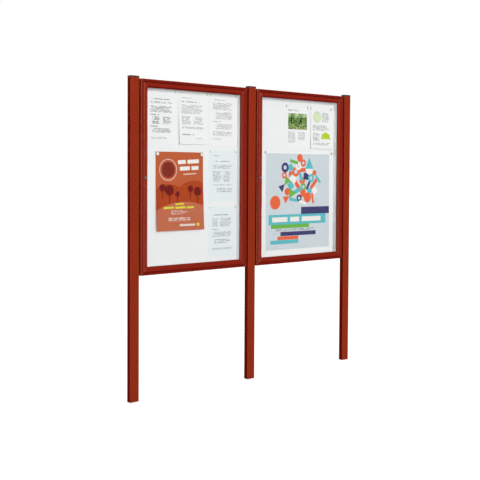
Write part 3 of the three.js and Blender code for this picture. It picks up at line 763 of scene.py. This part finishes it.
def springy_hang(across, up):
    """A sheet whose foot springs off the backing, more at its left corner."""
    foot_lift = 4.0 * MM
    corner_lift = 11.0 * MM
    foot = 1.0 - up
    left = 1.0 - across
    return flat_hang(across, up) + foot_lift * foot ** 2 + corner_lift * (foot * left) ** 1.6


def curled_poster(across, up):
    """A stiffer sheet whose foot stands away and whose lower left corner curls forward."""
    foot_lift = 13.0 * MM
    corner_curl = 4.0 * MM
    foot = 1.0 - up
    corner = eased((foot - 0.35 + (1.0 - across) * 0.5) / 1.15)
    return flat_hang(across, up) + foot_lift * foot ** 2.2 + corner_curl * corner ** 2 * foot


def loose_hang(across, up):
    """A sheet that stands a little off at its foot and down its left edge."""
    edge_lift = 2.4 * MM
    foot_lift = 7.0 * MM
    return flat_hang(across, up) + edge_lift * (1.0 - across) ** 3 + foot_lift * (1.0 - up) ** 4


def wide_hang(across, up):
    """The big sheet, slack between its magnets and curling a little at its lower right corner."""
    corner_lift = 5.0 * MM
    foot = 1.0 - up
    right = max(across - 0.7, 0.0) / 0.3
    return flat_hang(across, up) * 1.4 + corner_lift * right ** 2 * foot ** 2


# Round magnets at the top corners of the sheets

# Each kind's inset from the sheet's two edges, its radius and its thickness
SMALL_MAGNET = (9.0 * MM, 5.0 * MM, 3.0 * MM)
POSTER_MAGNET = (12.0 * MM, 10.0 * MM, 5.0 * MM)
THICK_MAGNET = (10.0 * MM, 9.0 * MM, 8.0 * MM)

MAGNET_GAP = 0.25 * MM
MAGNET_SHARP_ANGLE = math.radians(35.0)
TURNED_STEPS = 32
ARC_STEPS = 4


def turned_piece(name, centre, outline, material):
    """A round piece facing forward, turned from its half outline of reach and depth."""
    bm = bmesh.new()
    rings = []
    for reach, depth in outline:
        if reach == 0.0:
            rings.append([bm.verts.new((centre.x, centre.y + depth, centre.z))])
            continue
        ring = []
        for step in range(TURNED_STEPS):
            angle = 2.0 * math.pi * step / TURNED_STEPS
            x = centre.x + reach * math.cos(angle)
            z = centre.z + reach * math.sin(angle)
            ring.append(bm.verts.new((x, centre.y + depth, z)))
        rings.append(ring)
    for first, second in zip(rings, rings[1:]):
        for step in range(TURNED_STEPS):
            following = (step + 1) % TURNED_STEPS
            corners = [
                first[step % len(first)],
                first[following % len(first)],
                second[following % len(second)],
                second[step % len(second)],
            ]
            bm.faces.new(list(dict.fromkeys(corners)))
    link_piece(name, smooth_mesh(name, bm, MAGNET_SHARP_ANGLE), material)


def rounded_edge(reach, front, radius):
    """The points round the front edge of a disc, from its face to its side."""
    points = []
    for step in range(ARC_STEPS + 1):
        angle = math.radians(90.0 * step / ARC_STEPS)
        side = reach - radius + radius * math.sin(angle)
        points.append((side, front + radius - radius * math.cos(angle)))
    return points


def bare_magnet(name, centre, radius, thickness, material):
    edge = 0.4 * MM
    outline = [(0.0, -thickness), *rounded_edge(radius, -thickness, edge)]
    outline += [(radius, -edge), (radius - edge, 0.0), (0.0, 0.0)]
    turned_piece(name, centre, outline, material)


def capped_magnet(name, centre, radius, thickness, body_material, cap_material):
    """A body with a white cap set in its face, which stands a little proud of the rim."""
    rim = 0.07 * radius
    seat = -thickness + 1.2 * MM
    face = -thickness + 0.7 * MM
    front_edge = 0.4 * MM
    back_edge = 0.5 * MM
    body = [(0.0, seat), (radius - rim, seat), (radius - rim, face)]
    body += rounded_edge(radius, face, front_edge)
    body += [(radius, -back_edge), (radius - back_edge, 0.0), (0.0, 0.0)]
    turned_piece(f"{name}_body", centre, body, body_material)
    cap_play = 0.15 * MM
    half_way_drop = 0.05 * MM
    edge_drop = 0.15 * MM
    cap_edge = 0.5 * MM
    reach = radius - rim - cap_play
    cap = [(0.0, -thickness), (0.5 * reach, -thickness + half_way_drop)]
    cap += rounded_edge(reach, -thickness + edge_drop, cap_edge)
    cap += [(reach, seat), (0.0, seat)]
    turned_piece(f"{name}_cap", centre, cap, cap_material)


def pin_corners(node, magnet, materials):
    """Magnets at a sheet's top corners, a hair off the paper, bare with one material."""
    inset, radius, thickness = magnet
    low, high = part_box(node)
    for corner, x in (("left", low.x + inset), ("right", high.x - inset)):
        centre = Vector((x, high.y - PAPER_THICKNESS - MAGNET_GAP, high.z - inset))
        build = bare_magnet if len(materials) == 1 else capped_magnet
        build(f"{node}_{corner}_magnet", centre, radius, thickness, *materials)


# What is printed on each sheet, in metres from the sheet's top left corner

SHEET_WHITE = screen(250, 250, 249)
SHEET_BLUISH = screen(240, 246, 246)
INK_DARK = screen(58, 58, 62)
INK_GREY = screen(84, 86, 90)
INK_PALE = screen(132, 134, 140)
HEADLINE_WHITE = screen(250, 244, 238)
CLAY = screen(196, 94, 54)
CLAY_DEEP = screen(178, 66, 20)
CLAY_PALE = screen(198, 108, 76)
MAROON = screen(112, 14, 10)
LEMON = screen(228, 222, 62)
MIST_BLUE = screen(214, 222, 227)
NAVY = screen(62, 58, 108)
TEAL = screen(96, 192, 200)
CORAL = screen(242, 104, 62)
LEAF_GREEN = screen(112, 184, 72)
LIME = screen(190, 214, 50)
LIME_PALE = screen(222, 236, 190)
MEADOW_DEEP = screen(58, 88, 40)
MEADOW_PALE = screen(170, 186, 118)
TREE_DEEP = screen(48, 84, 36)
TREE_PALE = screen(138, 176, 88)
TRUNK_SHADE = screen(24, 44, 22)
SKY_PALE = screen(208, 226, 176)
SKY_LEAVES = screen(92, 130, 62)


class Print:
    """The ink on one sheet: each call lays one more colour over what is there."""

    def __init__(self, node, ground, roughness=0.55):
        self.material, self.nodes, self.shader = new_material(f"{node} print")
        low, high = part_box(node)
        middle = (low + high) / 2
        self.half_width = (high.x - low.x) / 2
        self.half_height = (high.z - low.z) / 2
        self.place = self.nodes.vector_math("SUBTRACT", self.nodes.place(), tuple(middle))
        self.colour = ground
        self.roughness = roughness

    def lay(self, mask, colour, strength=1.0):
        share = mask if strength == 1.0 else self.nodes.math("MULTIPLY", mask, strength)
        self.colour = self.nodes.mix(share, self.colour, colour)

    def lines(self, left, top, width, height, pitch, colour=INK_GREY, ink=0.5, word=0.012,
              ragged=0.2, seed=0.0, strength=0.75):
        """A block of small print. Ink is its share of a row, and ragged how far rows fall short."""
        mask = self.nodes.group(
            TYPED_LINES,
            Place=self.place,
            Left=left - self.half_width,
            Top=self.half_height - top,
            Width=width,
            Height=height,
            Pitch=pitch,
            Ink=ink,
            Word=word,
            Ragged=ragged,
            Seed=seed,
        )["Mask"]
        self.lay(mask, colour, strength)

    def shape_mask(self, tree, across, down, **values):
        """The mask of a printed shape whose middle lies across and down the sheet."""
        middle = (across - self.half_width, 0.0, self.half_height - down)
        return self.nodes.group(tree, Place=self.place, Middle=middle, **values)["Mask"]

    def bar_mask(self, across, down, width, height, turn=0.0):
        values = {"Half_Width": width / 2, "Half_Height": height / 2, "Turn": math.radians(turn)}
        return self.shape_mask(PRINTED_BAR, across, down, **values)

    def bar(self, across, down, width, height, colour, turn=0.0, strength=1.0):
        self.lay(self.bar_mask(across, down, width, height, turn), colour, strength)

    def disc(self, across, down, radius, colour, inner=0.0, strength=1.0):
        mask = self.shape_mask(PRINTED_DISC, across, down, Radius=radius, Inner=inner)
        self.lay(mask, colour, strength)

    def wedge(self, across, down, width, height, colour, turn=0.0):
        values = {"Half_Width": width / 2, "Height": height, "Turn": math.radians(turn)}
        self.lay(self.shape_mask(PRINTED_WEDGE, across, down, **values), colour)

    def finish(self):
        nodes, shader = self.nodes, self.shader
        place = nodes.place()
        drift = nodes.group(
            SURFACE_DRIFT, Place=place, Colour=self.colour, Scale=14.0, Amount=0.012)
        fibre = nodes.noise(place, 900.0, detail=3.0)
        low_gloss, high_gloss = self.roughness - 0.04, self.roughness + 0.04
        gloss = nodes.map_range(fibre, *NOISE_ENDS, low_gloss, high_gloss)
        join_skin(nodes, shader, drift["Colour"], gloss, fibre, 0.06, 0.1 * MM)
        shader.inputs["Specular IOR Level"].default_value = 0.1
        return self.material


def block(left, top, width, height, pitch=0.0052, **more):
    return {"left": left, "top": top, "width": width, "height": height, "pitch": pitch, **more}


def heading(left, top, width, **more):
    style = {"colour": INK_DARK, "ink": 0.62, "word": 0.016, "ragged": 0.05}
    return block(left, top, width, 0.007, 0.0072, **style, **more)


def print_notice(node, ground, blocks):
    page = Print(node, ground)
    for number, given in enumerate(blocks):
        page.lines(seed=11.0 * number, **given)
    return page.finish()


def print_left_notices():
    pages = (
        (SHEET_WHITE, [
            heading(0.05, 0.05, 0.12),
            block(0.036, 0.066, 0.15, 0.011, colour=INK_DARK),
            block(0.036, 0.09, 0.15, 0.036, ink=0.6),
            heading(0.036, 0.136, 0.06),
            block(0.05, 0.148, 0.05, 0.042, ragged=0.35, ink=0.7, colour=INK_DARK),
            block(0.12, 0.148, 0.055, 0.042, ragged=0.35, ink=0.7),
            heading(0.036, 0.2, 0.05),
            block(0.05, 0.212, 0.135, 0.026, ink=0.6),
            block(0.036, 0.262, 0.12, 0.011, colour=INK_PALE),
        ]),
        (SHEET_WHITE, [
            block(0.02, 0.035, 0.08, 0.006, colour=INK_PALE),
            heading(0.02, 0.056, 0.13),
            block(0.02, 0.075, 0.16, 0.052, ragged=0.3, colour=INK_PALE),
            block(0.02, 0.14, 0.07, 0.047, ragged=0.4, colour=INK_PALE),
            block(0.105, 0.14, 0.075, 0.047, ragged=0.4, colour=INK_PALE),
            block(0.02, 0.2, 0.165, 0.011, colour=INK_GREY),
            block(0.02, 0.24, 0.09, 0.006, 0.014, colour=INK_PALE),
            block(0.12, 0.262, 0.06, 0.006, colour=INK_PALE),
        ]),
        (SHEET_WHITE, [
            heading(0.03, 0.03, 0.09, strength=0.5),
            block(0.03, 0.048, 0.15, 0.042, colour=INK_PALE),
            block(0.05, 0.102, 0.13, 0.042, colour=INK_PALE),
            heading(0.03, 0.155, 0.06, strength=0.5),
            block(0.05, 0.17, 0.13, 0.032, colour=INK_PALE),
            block(0.03, 0.215, 0.15, 0.026, colour=INK_PALE),
            block(0.03, 0.256, 0.07, 0.006, colour=INK_PALE),
        ]),
        (SHEET_BLUISH, [
            block(0.03, 0.03, 0.06, 0.006, colour=INK_PALE),
            heading(0.05, 0.062, 0.11, strength=0.6),
            block(0.03, 0.085, 0.15, 0.026, colour=INK_PALE),
            block(0.03, 0.122, 0.07, 0.062, ragged=0.45, colour=INK_PALE),
            block(0.11, 0.122, 0.06, 0.062, ragged=0.45, colour=INK_PALE),
            block(0.03, 0.2, 0.15, 0.006, colour=INK_PALE),
            block(0.06, 0.222, 0.12, 0.026, 0.0085, colour=INK_PALE),
        ]),
        (SHEET_BLUISH, [
            heading(0.03, 0.05, 0.12, strength=0.7),
            block(0.03, 0.07, 0.04, 0.052, ragged=0.1, colour=INK_PALE),
            block(0.085, 0.07, 0.095, 0.052, ragged=0.4, colour=INK_PALE),
            heading(0.03, 0.134, 0.05, strength=0.5),
            block(0.03, 0.15, 0.15, 0.031, colour=INK_PALE),
            block(0.045, 0.195, 0.12, 0.026, 0.0085, colour=INK_PALE),
            block(0.03, 0.245, 0.15, 0.011, colour=INK_PALE),
        ]),
    )
    return [
        print_notice(f"left_notice_{number}", ground, blocks)
        for number, (ground, blocks) in enumerate(pages, 1)
    ]


def print_left_poster():
    """Hills and round trees in clay colours and a dark ringed sun, beside lines of bold blocks."""
    page = Print("left_poster", CLAY, roughness=0.45)
    page.disc(0.085, 0.1, 0.044, MAROON, strength=0.85)
    page.disc(0.085, 0.1, 0.06, HEADLINE_WHITE, inner=0.0565, strength=0.75)
    page.disc(0.26, 0.3, 0.14, CLAY_DEEP)
    page.disc(0.09, 0.33, 0.15, CLAY_DEEP)
    page.disc(0.19, 0.7, 0.42, CLAY_PALE)
    trees = (
        (0.045, 0.2, 0.021),
        (0.092, 0.215, 0.03),
        (0.146, 0.236, 0.016),
        (0.238, 0.206, 0.019),
        (0.288, 0.222, 0.026),
    )
    for across, down, size in trees:
        page.disc(across, down, size, MAROON)
        page.bar(across, down + size + 0.012, 0.006, size + 0.036, MAROON)
    headline = (
        (0.179, 0.056, 0.054),
        (0.259, 0.052, 0.082),
        (0.2, 0.092, 0.07),
        (0.272, 0.089, 0.05),
    )
    for across, down, width in headline:
        page.bar(across, down, width, 0.022, HEADLINE_WHITE, turn=3.0)
    page.bar(0.235, 0.123, 0.09, 0.006, HEADLINE_WHITE, turn=3.0, strength=0.7)
    for across, width in ((0.085, 0.07), (0.165, 0.07), (0.235, 0.05)):
        page.bar(across, 0.312, width, 0.011, LEMON, turn=1.5)
    page.bar(0.16, 0.292, 0.06, 0.009, LEMON, turn=1.5)
    small_print = {"colour": HEADLINE_WHITE, "ragged": 0.4, "seed": 3.0, "strength": 0.65}
    page.lines(0.1, 0.328, 0.12, 0.022, 0.0065, **small_print)
    page.lines(0.08, 0.368, 0.17, 0.02, 0.0095, HEADLINE_WHITE, ink=0.62, seed=8.0)
    page.disc(0.286, 0.41, 0.01, LEMON)
    page.bar(0.21, 0.411, 0.11, 0.012, HEADLINE_WHITE, strength=0.7)
    return page.finish()


def scatter_pieces(page):
    """Loose discs, rings, bars, wedges and squares, set apart along a spiral."""
    chance = random.Random(11)
    count = 38
    spiral_turn = 137.5
    spiral_pitch = 0.0242
    palette = (CORAL, NAVY, TEAL, CORAL, HEADLINE_WHITE, CORAL, TEAL, LEAF_GREEN)
    for step in range(count):
        turn = math.radians(step * spiral_turn)
        reach = spiral_pitch * math.sqrt(step + 0.6)
        across = 0.3 + 1.15 * reach * math.cos(turn)
        down = 0.185 + reach * math.sin(turn)
        colour = palette[(step * 5 + step // 8) % len(palette)]
        size = chance.uniform(0.024, 0.041)
        kind = chance.randrange(4)
        if kind == 0:
            page.disc(across, down, size * 0.8, colour, inner=size * 0.35 * (step % 2))
        elif kind == 1:
            page.bar(across, down, size * 2.6, size * 0.7, colour, chance.uniform(-80.0, 80.0))
        elif kind == 2:
            page.wedge(across, down, size * 1.8, size * 1.8, colour, chance.uniform(0.0, 360.0))
        else:
            page.bar(across, down, size * 1.3, size * 1.3, colour, chance.uniform(0.0, 90.0))


def print_right_poster():
    """Loose pieces thrown up over stacked colour bars, on misty blue in a white margin."""
    page = Print("right_poster", SHEET_WHITE, roughness=0.45)
    page.bar(0.289, 0.313, 0.556, 0.6, MIST_BLUE)
    scatter_pieces(page)
    page.disc(0.09, 0.318, 0.043, CORAL)
    page.bar(0.44, 0.372, 0.254, 0.046, NAVY)
    page.bar(0.285, 0.425, 0.5, 0.062, TEAL)
    for across, width in ((0.13, 0.13), (0.257, 0.08), (0.405, 0.17)):
        page.bar(across, 0.425, width, 0.03, HEADLINE_WHITE)
    page.bar(0.22, 0.468, 0.33, 0.024, LEAF_GREEN)
    page.lines(0.09, 0.485, 0.38, 0.014, 0.007, INK_DARK, word=0.02, seed=5.0)
    page.bar(0.29, 0.515, 0.31, 0.026, NAVY)
    page.bar(0.2, 0.541, 0.18, 0.022, CORAL)
    page.bar(0.17, 0.565, 0.24, 0.024, TEAL)
    return page.finish()


def foliage_picture(page, across, down, width, height):
    """A soft green picture of a meadow before a tree line."""
    nodes = page.nodes
    picture = page.bar_mask(across, down, width, height)
    up = nodes.split(page.place)["Z"]
    foot = page.half_height - down - height / 2
    head = page.half_height - down + height / 2
    level = nodes.map_range(up, foot, head)
    clumps = nodes.noise(page.place, 80.0, detail=5.0, roughness=0.6)
    drawn_up = nodes.vector_math("MULTIPLY", page.place, (1.0, 1.0, 0.22))
    stems = nodes.noise(drawn_up, 150.0, detail=3.0)
    meadow = nodes.mix(nodes.map_range(clumps, 0.42, 0.58), MEADOW_DEEP, MEADOW_PALE)
    trees = nodes.mix(nodes.map_range(clumps, 0.4, 0.58), TREE_DEEP, TREE_PALE)
    trees = nodes.mix(nodes.map_range(stems, 0.5, 0.6), trees, TRUNK_SHADE)
    sky = nodes.mix(nodes.map_range(stems, 0.44, 0.58), SKY_PALE, SKY_LEAVES)
    wobble = nodes.math("MULTIPLY_ADD", clumps, 0.35, nodes.math("SUBTRACT", level, 0.17))
    lower = nodes.mix(nodes.map_range(wobble, 0.36, 0.46), meadow, trees)
    whole = nodes.mix(nodes.map_range(wobble, 0.68, 0.86), lower, sky)
    page.lay(picture, whole)


def print_right_notices():
    first = Print("right_notice_1", SHEET_WHITE)
    first.lines(0.02, 0.028, 0.11, 0.011, 0.0055, seed=2.0)
    foliage_picture(first, 0.102, 0.1, 0.164, 0.1)
    first.lines(0.02, 0.165, 0.075, 0.068, 0.0055, INK_PALE, ragged=0.3, seed=4.0)
    first.lines(0.108, 0.165, 0.075, 0.05, 0.0055, INK_PALE, ragged=0.3, seed=9.0)
    second = Print("right_notice_2", SHEET_WHITE)
    second.disc(0.062, 0.062, 0.034, INK_PALE, inner=0.032)
    second.disc(0.062, 0.062, 0.032, LIME_PALE)
    second.disc(0.082, 0.07, 0.02, LIME_PALE)
    second.lines(0.108, 0.035, 0.075, 0.058, 0.006, ragged=0.35, seed=6.0)
    second.lines(0.022, 0.115, 0.16, 0.036, 0.006, ragged=0.3, seed=8.0)
    for across, size in ((0.118, 0.015), (0.14, 0.021), (0.162, 0.015)):
        second.disc(across, 0.19 - size * 0.5, size, LIME)
    second.bar(0.14, 0.198, 0.085, 0.01, LIME)
    second.lines(0.022, 0.165, 0.07, 0.05, 0.006, ragged=0.4, seed=10.0)
    second.lines(0.022, 0.228, 0.16, 0.014, 0.006, seed=12.0)
    return first.finish(), second.finish()


def hang_row(side, prints, hangs, magnet, materials):
    """The notices of one case, numbered from 1."""
    for number, (material, hang) in enumerate(zip(prints, hangs), 1):
        node = f"{side}_notice_{number}"
        paper_sheet(node, material, hang)
        pin_corners(node, magnet, materials)


def hang_sheets():
    bare = [plated_metal("bare magnet", MAGNET_STEEL, roughness=0.45)]
    body = moulded_plastic("magnet body", MAGNET_BODY)
    thick_body = moulded_plastic("thick magnet body", MAGNET_WHITE, top_shade=MAGNET_TOP_SHADE)
    cap = moulded_plastic("magnet cap", MAGNET_WHITE, roughness=0.35)
    left_hangs = (flat_hang, springy_hang, flat_hang, flat_hang, flat_hang)
    hang_row("left", print_left_notices(), left_hangs, SMALL_MAGNET, bare)
    paper_sheet("left_poster", print_left_poster(), curled_poster)
    pin_corners("left_poster", POSTER_MAGNET, [body, cap])
    right_hangs = (flat_hang, loose_hang)
    hang_row("right", print_right_notices(), right_hangs, THICK_MAGNET, [thick_body, cap])
    paper_sheet("right_poster", print_right_poster(), wide_hang)
    pin_corners("right_poster", THICK_MAGNET, [thick_body, cap])


hang_sheets()


# How the picture is shown

bpy.context.scene.view_settings.view_transform = "Standard"
